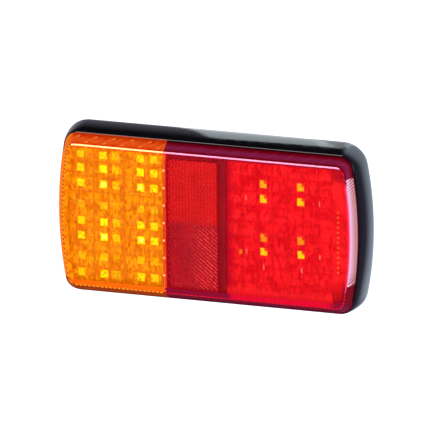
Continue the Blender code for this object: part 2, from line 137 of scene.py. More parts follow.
def loft_shape(rings, closed=False):
    """Skins a row of rings, and joins the last to the first or caps both."""
    shape = bmesh.new()
    loops = [[shape.verts.new(point) for point in points] for points in rings]
    pairs = list(zip(loops, loops[1:]))
    if closed:
        pairs.append((loops[-1], loops[0]))
    else:
        shape.faces.new(loops[0])
        shape.faces.new(loops[-1])
    for near, far in pairs:
        for index in range(len(near)):
            after = (index + 1) % len(near)
            shape.faces.new((near[index], near[after], far[after], far[index]))
    return shape


def loft(name, rings, smooth_degrees=32):
    return object_from(name, loft_shape(rings), smooth_degrees)


def box(name, x_range, heights, z_range):
    low = Vector((x_range[0], -heights[1], z_range[0]))
    high = Vector((x_range[1], -heights[0], z_range[1]))
    shape = bmesh.new()
    place = Matrix.Translation((low + high) / 2) @ Matrix.Diagonal((*(high - low), 1.0))
    bmesh.ops.create_cube(shape, size=1.0, matrix=place)
    return object_from(name, shape)


def rod(name, x, z, radius, heights, sides=32):
    shape = bmesh.new()
    centre = (x, -(heights[0] + heights[1]) / 2, z)
    place = Matrix.Translation(centre) @ Matrix.Rotation(pi / 2, 4, "X")
    bmesh.ops.create_cone(shape, cap_ends=True, segments=sides, radius1=radius, radius2=radius,
                          depth=heights[1] - heights[0], matrix=place)
    return object_from(name, shape)


def polar(x, z, radius, angle, height):
    """A point beside the axis that stands on (x, z)."""
    return (x + radius * cos(angle), -height, z + radius * sin(angle))


def turned(name, x, z, profile, sides=40):
    """A solid of revolution about Y from (radius, height) points in metres."""
    angles = [tau * step / sides for step in range(sides)]
    rings = [[polar(x, z, radius, angle, height) for radius, height in profile] for angle in angles]
    shape = loft_shape(rings, closed=True)
    bmesh.ops.remove_doubles(shape, verts=shape.verts, dist=1e-7)
    bmesh.ops.dissolve_degenerate(shape, edges=shape.edges, dist=1e-7)
    return object_from(name, shape)


def apply_modifiers(piece):
    graph = bpy.context.evaluated_depsgraph_get()
    mesh = bpy.data.meshes.new_from_object(piece.evaluated_get(graph))
    piece.modifiers.clear()
    piece.data = mesh


def combine(piece, operation, tool, smooth_degrees=32):
    """A Boolean with a throw-away tool, applied at once."""
    step = piece.modifiers.new(tool.name, "BOOLEAN")
    step.operation = operation
    step.object = tool
    bpy.context.view_layer.update()
    apply_modifiers(piece)
    bpy.data.objects.remove(tool, do_unlink=True)
    smooth(piece.data, smooth_degrees)


def bevel(piece, width):
    edge = piece.modifiers.new("edge", "BEVEL")
    edge.width = width
    edge.segments = 2
    edge.limit_method = "ANGLE"
    edge.angle_limit = radians(30)
    apply_modifiers(piece)
    smooth(piece.data, 50)


def fit_out(piece, body, materials, *nodes, slot=None):
    """Gives a piece its materials and its body, and hides the CAD nodes that it stands for."""
    piece.data.materials.clear()
    for material in materials if isinstance(materials, list) else [materials]:
        piece.data.materials.append(material)
    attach(piece, body)
    if nodes:
        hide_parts(*nodes)


# ======== material makers
Place = namedtuple("Place", "vector x y z")


def add(tree, kind, inputs=None, **settings):
    made = tree.nodes.new("ShaderNode" + kind)
    for key, value in settings.items():
        setattr(made, key, value)
    for key, value in (inputs or {}).items():
        if isinstance(value, bpy.types.NodeSocket):
            tree.links.new(value, made.inputs[key])
        else:
            made.inputs[key].default_value = value
    return made


def add_after(kind, inputs, **settings):
    """Adds a node to the tree that the sockets among its inputs belong to."""
    sockets = [value for value in inputs.values() if isinstance(value, bpy.types.NodeSocket)]
    return add(sockets[0].id_data, kind, inputs, **settings)


def calc(operation, *values):
    return add_after("Math", dict(enumerate(values)), operation=operation).outputs[0]


def times(*values):
    product = values[0]
    for value in values[1:]:
        product = calc("MULTIPLY", product, value)
    return product


def away(value, centre=0.0):
    """How far a value lies from a centre."""
    return calc("ABSOLUTE", calc("SUBTRACT", value, centre))


def wave(value, pitch, operation="SINE"):
    """A sine or cosine that repeats at every pitch of the value."""
    return calc(operation, times(value, tau / pitch))


def remap(value, low, high, to_low=0.0, to_high=1.0):
    made = add_after("MapRange", {"Value": value, "From Min": low, "From Max": high, "To Min": to_low,
                                  "To Max": to_high}, interpolation_type="SMOOTHSTEP")
    return made.outputs["Result"]


def mottle(at, size_mm, detail=3.0):
    """Noise from 0 to 1 whose blotches are about size_mm across."""
    made = add_after("TexNoise", {"Vector": at.vector, "Scale": 1 / size_mm, "Detail": detail,
                                  "Roughness": 0.55})
    return made.outputs["Fac"]


def blotches(at, size_mm, low=0.3, high=0.7, to_low=0.0, to_high=1.0, detail=3.0):
    """The same noise with its middle range stretched over a wider one."""
    return remap(mottle(at, size_mm, detail), low, high, to_low, to_high)


def cells(at, scale):
    return add_after("TexVoronoi", {"Vector": at.vector, "Scale": scale}).outputs["Distance"]


def linear(display):
    """A linear colour from three 8-bit display values."""
    shares = [value / 255 for value in display]
    return (*(v / 12.92 if v <= 0.04045 else ((v + 0.055) / 1.055) ** 2.4 for v in shares), 1.0)


def mix(share, first, second):
    """Blends two colours: sockets, linear colours or 8-bit display values."""
    ends = [linear(end) if isinstance(end, tuple) and len(end) == 3 else end for end in (first, second)]
    return add_after("Mix", {0: share, 6: ends[0], 7: ends[1]}, data_type="RGBA").outputs[2]


def new_material(name, **values):
    """A material, and object coordinates in millimetres to paint it by."""
    material = bpy.data.materials.new(name)
    material.use_nodes = True
    tree = material.node_tree
    for key, value in values.items():
        tree.nodes["Principled BSDF"].inputs[key.replace("_", " ")].default_value = value
    where = add(tree, "TexCoord").outputs["Object"]
    vector = add(tree, "VectorMath", {0: where, "Scale": 1 / MM}, operation="SCALE").outputs[0]
    return material, Place(vector, *add(tree, "SeparateXYZ", {0: vector}).outputs)


def connect(material, value, *names):
    """Feeds a value into the named inputs of the material's shader."""
    tree = material.node_tree
    for name in names:
        tree.links.new(value, tree.nodes["Principled BSDF"].inputs[name])


def bump(material, height, strength, distance_mm):
    made = add_after("Bump", {"Height": height, "Strength": strength, "Distance": distance_mm * MM})
    connect(material, made.outputs[0], "Normal")


def finish(material, colour, height, strength, distance_mm, names=("Base Color",)):
    """Gives a material its colour and its fine relief."""
    connect(material, colour, *names)
    bump(material, height, strength, distance_mm)
    return material


def finish_lit(material, colour, *relief):
    """The same for plastic that also shines in its own colour."""
    return finish(material, colour, *relief, names=("Base Color", "Emission Color"))


def plastic(name, colour, tint, rough_low, rough_high, grain_mm, grain_depth, blotch_mm=14.0):
    """Moulded plastic or rubber: slight colour drift, uneven polish and a fine grain."""
    material, at = new_material(name)
    polish = blotches(at, blotch_mm / 4, to_low=rough_low, to_high=rough_high, detail=5.0)
    connect(material, polish, "Roughness")
    colour = mix(blotches(at, blotch_mm), colour, tint)
    return finish(material, colour, mottle(at, grain_mm, detail=2.0), 0.6, grain_depth)


# ======== camera, lights, floor
YAW = radians(-17.59)
PITCH = radians(18.38)
ROLL = radians(-0.42)
DISTANCE = 4.1174
LENS_MM = 744.2
AIM = Vector((0.33 * MM, 0.0, -1.27 * MM))  # what the lens is centred on, across and up in view


def make_camera():
    to_view = Matrix.Rotation(ROLL, 4, "Y") @ Matrix.Rotation(PITCH, 4, "X") @ Matrix.Rotation(YAW, 4, "Z")
    to_world = to_view.transposed()
    data = bpy.data.cameras.new("camera")
    data.lens = LENS_MM
    data.sensor_width = 36.0
    data.clip_start = 0.1
    data.clip_end = 50.0
    camera = bpy.data.objects.new("camera", data)
    bpy.context.scene.collection.objects.link(camera)
    stand = to_world @ (AIM + Vector((0.0, -DISTANCE, 0.0))) + Vector((0.0, -RIM_HEIGHT, 0.0))
    camera.matrix_world = Matrix.Translation(stand) @ to_world @ Matrix.Rotation(pi / 2, 4, "X")
    bpy.context.scene.camera = camera


def softbox(name, place, size, power, gloss_only=False, tint=(1.0, 1.0, 1.0)):
    """A rectangular light that faces the lamp. A gloss-only one shows in reflections alone."""
    data = bpy.data.lights.new(name, "AREA")
    data.shape = "RECTANGLE"
    data.size, data.size_y = size
    data.energy = power
    data.color = tint
    lamp = bpy.data.objects.new(name, data)
    bpy.context.scene.collection.objects.link(lamp)
    lamp.location = place
    lamp.rotation_mode = "QUATERNION"
    lamp.rotation_quaternion = Vector(place).to_track_quat("Z", "Y")
    lamp.visible_camera = False
    lamp.visible_diffuse = not gloss_only


def make_studio():
    """Soft lights, cards that only reflections show, and a room that is bright behind the lamp."""
    softbox("key_softbox", (-0.55, -1.2, 0.75), (0.9, 0.6), 10.0)
    softbox("fill_softbox", (0.9, -1.2, 0.2), (0.8, 0.8), 4.0)
    softbox("edge_strip", (0.0, -0.42, 1.15), (1.6, 0.16), 7.0, gloss_only=True)
    for name, place, size, power in (
            ("rear_card", (-0.083, 0.317, 0.187), (0.076, 0.198), 0.108),
            ("rear_card_end", (-0.022, 0.317, 0.187), (0.046, 0.198), 0.03),
            ("corner_card", (0.041, 0.32, 0.195), (0.08, 0.17), 0.06)):
        softbox(name, place, size, power, gloss_only=True, tint=(0.86, 0.97, 1.0))
    world = bpy.data.worlds.new("studio")
    bpy.context.scene.world = world
    world.use_nodes = True
    tree = world.node_tree
    way = add(tree, "TexCoord").outputs["Generated"]
    parts = add(tree, "SeparateXYZ", {0: way})
    side = remap(parts.outputs[0], -0.28, 0.1)
    above = remap(parts.outputs[2], -0.6, -0.42)
    depth = calc("ADD", parts.outputs[1], times(side, 0.08))
    behind = times(remap(depth, 0.69, 0.86), above)
    wall = mix(side, (0.5, 0.49, 0.62, 1.0), (1.5, 1.75, 2.1, 1.0))
    dark = mix(side, (0.025, 0.025, 0.03, 1.0), (0.22, 0.2, 0.32, 1.0))
    studio = mix(behind, dark, wall)
    seen = add(tree, "LightPath").outputs["Is Camera Ray"]
    colour = mix(seen, studio, (0.97, 0.97, 0.97, 1.0))
    tree.links.new(colour, tree.nodes["Background"].inputs["Color"])
    bpy.context.scene.view_settings.view_transform = "Standard"


def make_floor():
    bpy.ops.mesh.primitive_plane_add(size=12.0, location=(0.0, 2.0, -0.3))
    floor = bpy.context.object
    floor.name = "floor"
    material, at = new_material("floor_paint", Roughness=0.9, Emission_Strength=1.0)
    paint = mix(blotches(at, 180.0), (0.93, 0.93, 0.93, 1), (0.96, 0.96, 0.96, 1))
    connect(material, paint, "Base Color", "Emission Color")
    floor.data.materials.append(material)
    floor.visible_glossy = False


# ======== mounting base
SHOULDER_POWER = 1.3
SHOULDER_STEPS = 16
LIP_FLAT = 0.55 * MM
LIP_GAP = 0.12 * MM
LIP_CHAMFER = 0.05 * MM
FLOOR_LOW = 1.5 * MM
FLOOR_HIGH = 3.3 * MM
LEDGE_HEIGHT = 8.0 * MM
LEDGE_INSET = 2.5 * MM
BACK_INSET = 3.0 * MM  # width of the rim round the hollow back
BACK_ROUND = ((0.0, 0.7), (0.12, 0.35), (0.45, 0.1))  # its outer edge: height and inset in mm
BEAD = 0.25 * MM  # chamfer round the lip, which catches the light
SCREW_HOLE = 2.75 * MM
CABLE_HOLE = 7.2 * MM
PEGS = [(x * MM, z * MM) for x in (-62.5, 62.5) for z in (-20.0, 20.0)]
PEG_PROFILE = [(r * MM, h * MM) for r, h in ((0, 8.8), (1.5, 8.8), (2.0, 8.2), (2.0, 2.8), (0, 2.8))]
BASE_SMOOTH = 38
SIDES = ("left", "right")


def middle(node):
    low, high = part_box(node)
    return (low + high) / 2


def shoulder_rings():
    width, height, bulge, corner = LIP
    lip_outside = (width + 2 * LIP_FLAT, height + 2 * LIP_FLAT, bulge, corner + LIP_FLAT)
    rings = []
    for step in range(SHOULDER_STEPS + 1):
        rise = sin(pi / 2 * step / SHOULDER_STEPS)
        spread = (1 - rise ** SHOULDER_POWER) ** (1 / SHOULDER_POWER)
        level = RIM_HEIGHT + (LIP_HEIGHT - RIM_HEIGHT) * rise
        if step == SHOULDER_STEPS:
            level -= BEAD
        rings.append(ring(blend(lip_outside, RIM, spread), level))
    return rings


def make_base(gloss_black):
    rings = [
        ring(RIM, FLOOR_LOW, BACK_INSET),
        ring(RIM, 0.0, BACK_INSET),
        *(ring(RIM, height * MM, inset * MM) for height, inset in BACK_ROUND),
        *shoulder_rings(),
        ring(LIP, LIP_HEIGHT, BEAD - LIP_FLAT),
        ring(LIP, LIP_HEIGHT, -LIP_GAP - LIP_CHAMFER),
        ring(LIP, LIP_HEIGHT - LIP_CHAMFER, -LIP_GAP),
        ring(LIP, LEDGE_HEIGHT, -LIP_GAP),
        ring(LIP, LEDGE_HEIGHT, LEDGE_INSET),
        ring(LIP, FLOOR_HIGH, LEDGE_INSET),
    ]
    base = loft("base_shell", rings, BASE_SMOOTH)
    cable = middle("cable_grommet")
    holes = [rod("hole", middle(f"mounting_screw_{side}").x, 0.0, SCREW_HOLE, ALL) for side in SIDES]
    holes.append(rod("hole", cable.x, cable.z, CABLE_HOLE, ALL, sides=48))
    for hole in holes:
        combine(base, "DIFFERENCE", hole, BASE_SMOOTH)
    for x, z in PEGS:
        combine(base, "UNION", turned("peg", x, z, PEG_PROFILE, sides=24), BASE_SMOOTH)
    fit_out(base, BASE, gloss_black, "base_housing", slot="black_plastic")


# ======== screws and nuts
THREAD_PITCH = 0.8 * MM
THREAD_ROOT = 2.08 * MM
THREAD_CREST = 2.45 * MM
THREAD_SIDES = 24
THREAD_CUTS = 6
CREST_SHARE = 1.25  # widens the flat crests of the thread
HEAD_DEPTH = 3.5 * MM
HEAD = ((4.5, 3.5), (4.6, 3.4), (4.6, 2.0), (4.3, 1.3), (3.8, 0.8), (3.0, 0.35), (2.2, 0.1),
        (1.0, 0.0))  # radius, and drop below the crown, in mm
RECESS_REACH = 2.3 * MM
RECESS_HALF = 0.5 * MM
RECESS_DEPTH = 1.8 * MM
NUT_RADIUS = 4.6 * MM
NUT_CHAMFER = (4.05 * MM, 0.4 * MM)  # radius of the flat, and drop at the corners
NUT_BORE = 2.62 * MM
NUT_SINK = 0.45 * MM
CLEAR = 0.05 * MM  # by which the chamfer's outside clears the corners


def thread_rings(x, tail, under_head):
    """Cross-sections of a helical thread that runs out at its tail."""
    count = round((under_head - tail) / THREAD_PITCH * THREAD_CUTS)
    rings = []
    for step in range(count + 1):
        height = tail + (under_head - tail) * step / count
        runout = min(step / (2 * THREAD_CUTS), 1.0)
        points = []
        for side in range(THREAD_SIDES):
            turn = side / THREAD_SIDES
            ridge = min(abs(((height / THREAD_PITCH - turn) % 1.0) * 2 - 1) * CREST_SHARE, 1.0)
            radius = THREAD_ROOT + (THREAD_CREST - THREAD_ROOT) * ridge * runout
            points.append(polar(x, 0.0, radius, tau * turn, height))
        rings.append(points)
    return rings


def make_stud(side, zinc):
    """A pan head screw with a cross recess and a real helical thread."""
    node = f"mounting_screw_{side}"
    low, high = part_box(node)
    x, top = middle(node).x, -low.y
    angles = [tau * step / THREAD_SIDES for step in range(THREAD_SIDES)]
    rings = thread_rings(x, -high.y, top - HEAD_DEPTH)
    for radius, drop in HEAD:
        rings.append([polar(x, 0.0, radius * MM, angle, top - drop * MM) for angle in angles])
    screw = loft(f"mounting_stud_{side}", rings, 35)
    depth = (top - RECESS_DEPTH, top + 1.0 * MM)
    for reach_x, reach_z in ((RECESS_REACH, RECESS_HALF), (RECESS_HALF, RECESS_REACH)):
        slit = box("recess", (x - reach_x, x + reach_x), depth, (-reach_z, reach_z))
        combine(screw, "DIFFERENCE", slit, 35)
    fit_out(screw, BASE, zinc, node, slot="zinc_steel")


def make_nut(side, zinc):
    """A hexagon nut with chamfered corners and a countersunk bore."""
    node = f"mounting_nut_{side}"
    low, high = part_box(node)
    x = middle(node).x
    outer, inner = -high.y, -low.y
    nut = rod(f"clamp_nut_{side}", x, 0.0, NUT_RADIUS, (outer, inner), sides=6)
    flat, drop = NUT_CHAMFER
    wide = NUT_RADIUS + CLEAR
    chamfer = [(0, outer), (flat, outer), (wide, outer + drop), (wide, inner - drop), (flat, inner),
               (0, inner)]
    combine(nut, "INTERSECT", turned("chamfer", x, 0.0, chamfer, sides=48), 20)
    mouth = NUT_BORE + 2 * NUT_SINK
    drill = [(0, outer - NUT_SINK), (mouth, outer - NUT_SINK), (NUT_BORE, outer + NUT_SINK),
             (NUT_BORE, inner - NUT_SINK), (mouth, inner + NUT_SINK), (0, inner + NUT_SINK)]
    combine(nut, "DIFFERENCE", turned("drill", x, 0.0, drill, sides=32), 20)
    fit_out(nut, BASE, zinc, node, slot="zinc_steel")


# ======== lenses
RIB_PITCH = 2.05 * MM
FLUTE_PITCH = 8.6 * MM
FLUTE_SLANT = 1.4
RIB_DEPTH = 0.55 * MM
FLANGE = 0.32 * MM  # how far the lens reaches out over the lip of the base
END_FLANGE = 0.9 * MM  # the same, round the lower part of the indicator's end
WIDE_END = (62.0 * MM, 6.0 * MM)  # from which x on the -X side, and over what length it widens
WIDE_TOP = (32.0 * MM, 8.0 * MM)  # from which z down, and over what length
FLANGE_LOW = LIP_HEIGHT + 0.03 * MM
FLANGE_HIGH = LIP_HEIGHT + 0.17 * MM
FINE_SPACING = 0.36 * MM
RIM_WIDTH = 2.7 * MM  # border of the front, with the thick corner of the lens behind it
RIM_RISE = 0.06 * MM
CROWN_STEP = 3.625 * MM
CROWN_RINGS = 8
EDGE_STEPS = 6
WALL_STEPS = 10
RIB_INSET = 1.2 * MM  # from the outside of the wall to the nearest point of the ribs
INNER_INSET = 1.7 * MM
FIT_GAP = 0.06 * MM  # round the reflector and the window
FRONT_ABOVE = 16.0 * MM  # forward-facing faces higher than this are the front
FRONT_FACING = 0.985
EDGE_FACING = 0.58
EDGE_DROP = 1.2 * MM
RIM_LEFT = -64.0 * MM  # the cloudy border runs left of this x and below this z
RIM_LOW = -30.0 * MM
REFLEX_HEIGHTS = (15.0 * MM, 22.0 * MM)
REFLEX_BEVEL = 0.3 * MM
WINDOW_DEPTH = 8.0 * MM
WINDOW_FRONT = 17.5 * MM
CORE_HEIGHTS = (10.0 * MM, 22.0 * MM)
WINDOW_RIB_PITCH = 1.35 * MM
WINDOW_RIB_DEPTH = 0.08 * MM
WINDOW_RIB_SLANT = 0.3
FACE_PART, EDGE_PART, WALL_PART, RIM_PART = range(4)
CLEAR_PART, STRIP_PART = range(2)


def outline_cuts():
    """How many short steps each side of an outline is cut into, and how far along each step lies."""
    points = outline(LIP)
    cuts, along, total = [], [], 0.0
    for start, end in zip(points, points[1:] + points[:1]):
        length = dist(start, end)
        count = max(1, round(length / FINE_SPACING))
        cuts.append(count)
        along += [total + length * step / count for step in range(count)]
        total += length
    return cuts, along


CUTS, ALONG = outline_cuts()


def fine_outline(shape, inset):
    points = outline(shape, inset)
    fine = []
    for start, end, count in zip(points, points[1:] + points[:1], CUTS):
        fine += [blend(start, end, step / count) for step in range(count)]
    return fine


def fine_ring(shape, height, inset=0.0):
    return [(x, -height, z) for x, z in fine_outline(shape, inset)]


def mixed_ring(height, near, far, shares):
    """A ring whose points lie part of the way from one outline to another."""
    places = [blend(start, end, share) for start, end, share in zip(near, far, shares)]
    return [(x, -height, z) for x, z in places]


def ribbed_ring(shape, height, inset):
    """An inside ring that swings between two insets: narrow ribs, and wide slanting flutes."""
    shares = []
    for along in ALONG:
        rib = abs(sin(pi * along / RIB_PITCH))
        flute = 0.5 + 0.5 * cos(tau * (along + FLUTE_SLANT * height) / FLUTE_PITCH)
        shares.append(0.6 * rib + 0.4 * flute)
    return mixed_ring(height, fine_outline(shape, inset), fine_outline(shape, inset + RIB_DEPTH), shares)


def ramp(value, start, length):
    """0 up to the start, then an even rise to 1 over the length."""
    return min(max((value - start) / length, 0.0), 1.0)


def flange_ring(height):
    """The lens's foot, which reaches further out at the indicator's end."""
    near = fine_outline(LIP, -FLANGE)
    shares = [ramp(-x, *WIDE_END) * ramp(-z, -WIDE_TOP[0], WIDE_TOP[1]) for x, z in near]
    return mixed_ring(height, near, fine_outline(LIP, -END_FLANGE), shares)


def crown_rings(thickness):
    """Rings that rise to the slight dome of the front, or run below it by the thickness."""
    half = FACE[1] / 2
    rings = []
    for inset in [RIM_WIDTH] + [CROWN_STEP * step for step in range(1, CROWN_RINGS + 1)]:
        dome = CROWN * (1 - (1 - inset / half) ** 2)
        rings.append(fine_ring(FACE, FACE_HEIGHT + dome - thickness, inset))
    return rings


def edge_rings():
    """The rounded front edge, an arc that leaves the sloping wall and meets the face."""
    slope = atan2((LIP[1] - FACE[1]) / 2, FACE_HEIGHT - LIP_HEIGHT)
    tangent = EDGE_RADIUS * tan((pi / 2 - slope) / 2)
    rings = []
    for step in range(EDGE_STEPS + 1):
        lean = slope + (pi / 2 - slope) * step / EDGE_STEPS
        inset = tangent - EDGE_RADIUS * cos(lean)
        drop = EDGE_RADIUS * (1 - sin(lean))
        rings.append(fine_ring(FACE, FACE_HEIGHT - drop, inset))
    return rings


def lens_shell(name):
    """The whole skin of the two lenses, ribbed inside; each piece is cut out of one."""
    inside_edge = FACE_HEIGHT - LENS_WALL
    above = FLANGE_HIGH + 0.04 * MM
    outer = [fine_ring(LIP, FOOT), fine_ring(LIP, FLANGE_LOW), flange_ring(FLANGE_LOW),
             flange_ring(FLANGE_HIGH), fine_ring(lens_section(above), above),
             *edge_rings(), *crown_rings(0.0)]
    inner = [fine_ring(LIP, FOOT, LENS_WALL)]
    for step in range(WALL_STEPS + 1):
        height = LIP_HEIGHT + (inside_edge - 0.3 * MM - LIP_HEIGHT) * step / WALL_STEPS
        inner.append(ribbed_ring(lens_section(height), height, RIB_INSET))
    inner += [fine_ring(FACE, inside_edge, INNER_INSET), *crown_rings(LENS_WALL)]
    return loft(name, inner[::-1] + outer)


def sort_faces(piece):
    """Gives each face the material of its part: front, rounded edge, wall or border."""
    low, high = WINDOW
    for face in piece.data.polygons:
        facing = abs(face.normal.y)
        height = -face.center.y
        over_window = low.z < face.center.z < high.z and face.center.x > low.x and height > -low.y
        low_side = face.center.x < RIM_LEFT or face.center.z < RIM_LOW
        on_rim = low_side and FACE_HEIGHT - EDGE_RADIUS < height < FACE_HEIGHT + RIM_RISE
        if facing > FRONT_FACING and height > FRONT_ABOVE:
            face.material_index = RIM_PART if on_rim else FACE_PART
        elif over_window or (facing > EDGE_FACING and height > FACE_HEIGHT - EDGE_DROP):
            face.material_index = EDGE_PART
        else:
            face.material_index = WALL_PART


def reflex_zone(margin):
    low, high = REFLEX
    return box("zone", (low.x - margin, high.x + margin), REFLEX_HEIGHTS,
               (low.z - margin, high.z + margin))


def window_zone(margin):
    low, high = WINDOW
    zone = box("zone", (FACE[0] / 2 - WINDOW_DEPTH, FAR), (-high.y - margin, -low.y + margin),
               (low.z - margin, high.z + margin))
    core = loft("core", [ring(FACE, height, INNER_INSET + margin) for height in CORE_HEIGHTS])
    combine(zone, "DIFFERENCE", core)
    return zone


def flute_window(window):
    """Fine ribs across the pane, cut into its outer wall."""
    for vertex in window.data.vertices:
        along = vertex.co.z - WINDOW_RIB_SLANT * vertex.co.y
        inward = 0.5 - 0.5 * cos(tau * along / WINDOW_RIB_PITCH)
        vertex.co.x -= WINDOW_RIB_DEPTH * inward


def make_lenses(amber_parts, red_parts, reflex_parts, clear_parts):
    """The two coloured lenses and the two panes let into the red one."""
    amber = lens_shell("amber_lens_skin")
    combine(amber, "INTERSECT", box("zone", (-FAR, SEAM_X - GAP / 2), ALL, ALL))
    fit_out(amber, MODULE, amber_parts, "lens_amber", slot="amber_lens")
    sort_faces(amber)
    red = lens_shell("red_lens_skin")
    combine(red, "INTERSECT", box("zone", (SEAM_X + GAP / 2, FAR), ALL, ALL))
    combine(red, "DIFFERENCE", reflex_zone(FIT_GAP))
    combine(red, "DIFFERENCE", window_zone(FIT_GAP))
    fit_out(red, MODULE, red_parts, "lens_red", slot="red_lens")
    sort_faces(red)
    front = lens_shell("reflex_front")
    combine(front, "INTERSECT", reflex_zone(0.0))
    bevel(front, REFLEX_BEVEL)
    fit_out(front, MODULE, reflex_parts, "reflex_reflector", slot="reflex_red")
    sort_faces(front)
    window = lens_shell("plate_window_pane")
    combine(window, "INTERSECT", window_zone(0.0))
    flute_window(window)
    fit_out(window, MODULE, clear_parts, "plate_window", slot="clear_lens")
    for face in window.data.polygons:
        on_front = face.normal.y < -0.8 and -face.center.y > WINDOW_FRONT
        face.material_index = STRIP_PART if on_front else CLEAR_PART


# ======== optics behind the lenses
PILLOW_PITCH = 7.3 * MM
PILLOW_RISE = 0.75 * MM
OPTIC_BASE = 0.7 * MM
GRID_STEP = 0.6 * MM
TRIM_INSET = 1.8 * MM  # from the outline of the lens to that of the plates inside it
END_SCREEN_HEIGHTS = (17.12 * MM, 17.42 * MM)
END_SCREEN_END = 67.5 * MM
END_SCREEN_HALF = 33.0 * MM
RIDGE_X = 62.9 * MM
RIDGE_HALF = 0.9 * MM
RIDGE_RISE = 0.28 * MM
RIDGE_PITCH = 2.4 * MM


def height_field(name, x_range, z_range, floor, height_at):
    """A solid whose front is height_at(x, z) and whose back is flat at floor."""
    width, height = x_range[1] - x_range[0], z_range[1] - z_range[0]
    columns, rows = round(width / GRID_STEP), round(height / GRID_STEP)
    shape = bmesh.new()
    front, back = [], []
    for column in range(columns + 1):
        x = x_range[0] + width * column / columns
        places = [(x, z_range[0] + height * row / rows) for row in range(rows + 1)]
        front.append([shape.verts.new((px, -height_at(px, pz), pz)) for px, pz in places])
        back.append([shape.verts.new((px, -floor, pz)) for px, pz in places])
    for grid in (front, back):
        for column in range(columns):
            for row in range(rows):
                shape.faces.new((grid[column][row], grid[column + 1][row], grid[column + 1][row + 1],
                                 grid[column][row + 1]))
    border = [(column, 0) for column in range(columns)] + [(columns, row) for row in range(rows)]
    border += [(column, rows) for column in range(columns, 0, -1)] + [(0, row) for row in range(rows, 0, -1)]
    for (c0, r0), (c1, r1) in zip(border, border[1:] + border[:1]):
        shape.faces.new((front[c0][r0], front[c1][r1], back[c1][r1], back[c0][r0]))
    return object_from(name, shape, 60)


def make_pillows(name, x_range, material, node, slot_name):
    """A plate of square lenslets, trimmed to the inside of the light box."""
    floor = -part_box(node)[1].y
    reach = FACE[1] / 2

    def height_at(x, z):
        across = ((x - x_range[0]) / PILLOW_PITCH) % 1.0 * 2 - 1
        up = (z / PILLOW_PITCH + 0.5) % 1.0 * 2 - 1
        return floor + OPTIC_BASE + PILLOW_RISE * (1 - across ** 2) * (1 - up ** 2)

    plate = height_field(name, x_range, (-reach, reach), floor, height_at)
    levels = (floor - 1.0 * MM, floor + 2.5 * MM)
    trim = loft("trim", [ring(lens_section(level), level, TRIM_INSET) for level in levels])
    combine(plate, "INTERSECT", trim, 60)
    fit_out(plate, MODULE, material, node, slot=slot_name)


def make_end_screen(material):
    """A thin lenslet strip over the number plate lights, with a row of small ridges."""
    low, high = END_SCREEN_HEIGHTS
    x_range = (RED_EDGES[1] + 0.1 * MM, END_SCREEN_END)

    def height_at(x, z):
        rows = 0.5 + 0.5 * cos(tau * z / RIDGE_PITCH)
        ridge = max(1 - abs(x - RIDGE_X) / RIDGE_HALF, 0.0)
        return high + RIDGE_RISE * rows * ridge

    strip = height_field("end_lenslets", x_range, (-END_SCREEN_HALF, END_SCREEN_HALF), low, height_at)
    levels = (low - 1.0 * MM, low + 2.0 * MM)
    combine(strip, "INTERSECT", loft("trim", [ring(FACE, level, TRIM_INSET) for level in levels]), 60)
    fit_out(strip, MODULE, material, slot="red_lens")


PRISM_PITCH = 1.7 * MM
PRISM_DEPTH = 0.45 * MM
PRISM_MARGIN = 0.2 * MM
PRISM_BACKING = 0.1 * MM


def make_prisms(material):
    """The reflector's back: a honeycomb of cube corners, each made of three rhombs."""
    low, high = REFLEX
    side = PRISM_PITCH / sqrt(3)
    top = FACE_HEIGHT - LENS_WALL - 0.03 * MM
    x_low, x_high = low.x + PRISM_MARGIN, high.x - PRISM_MARGIN
    z_low, z_high = low.z + PRISM_MARGIN, high.z - PRISM_MARGIN
    shape = bmesh.new()
    corners = {}

    def corner(x, z, depth):
        """One shared vertex for each place, kept inside the reflector."""
        key = (round(x / side * 8), round(z / side * 8))
        if key not in corners:
            place = (min(max(x, x_low), x_high), depth - top, min(max(z, z_low), z_high))
            corners[key] = shape.verts.new(place)
        return corners[key]

    rows = ceil((z_high - z_low) / (1.5 * side)) + 1
    columns = ceil((x_high - x_low) / PRISM_PITCH) + 1
    for row in range(rows):
        for column in range(columns):
            x = x_low + (column + 0.5 * (row % 2)) * PRISM_PITCH
            z = z_low + row * 1.5 * side
            rim = []
            for step in range(6):
                angle = pi / 6 + step * pi / 3
                depth = PRISM_DEPTH * (0.5 if step % 2 else 1.0)
                rim.append(corner(x + side * cos(angle), z + side * sin(angle), depth))
            hub = corner(x, z, 0.0)
            for step in (1, 3, 5):
                quad = (hub, rim[step], rim[(step + 1) % 6], rim[(step + 2) % 6])
                if len(set(quad)) == 4 and shape.faces.get(quad) is None:
                    shape.faces.new(quad)
    bmesh.ops.dissolve_degenerate(shape, edges=shape.edges, dist=1e-6)
    prisms = object_from("reflex_prisms", shape, 10, recalculate=False)
    solid = prisms.modifiers.new("body", "SOLIDIFY")
    solid.thickness = PRISM_BACKING
    solid.offset = -1.0
    apply_modifiers(prisms)
    fit_out(prisms, MODULE, material, slot="reflex_red")


BEAD_PITCH = 8.4 * MM
BEAD_RADIUS = 0.55 * MM
SEAM_LOW, SEAM_HIGH = 0.13 * MM, 0.9 * MM  # how far the ridge reaches to each side of the seam
SEAM_HALF = 33.0 * MM
SEAM_FOOT = FACE_HEIGHT - 0.6 * MM


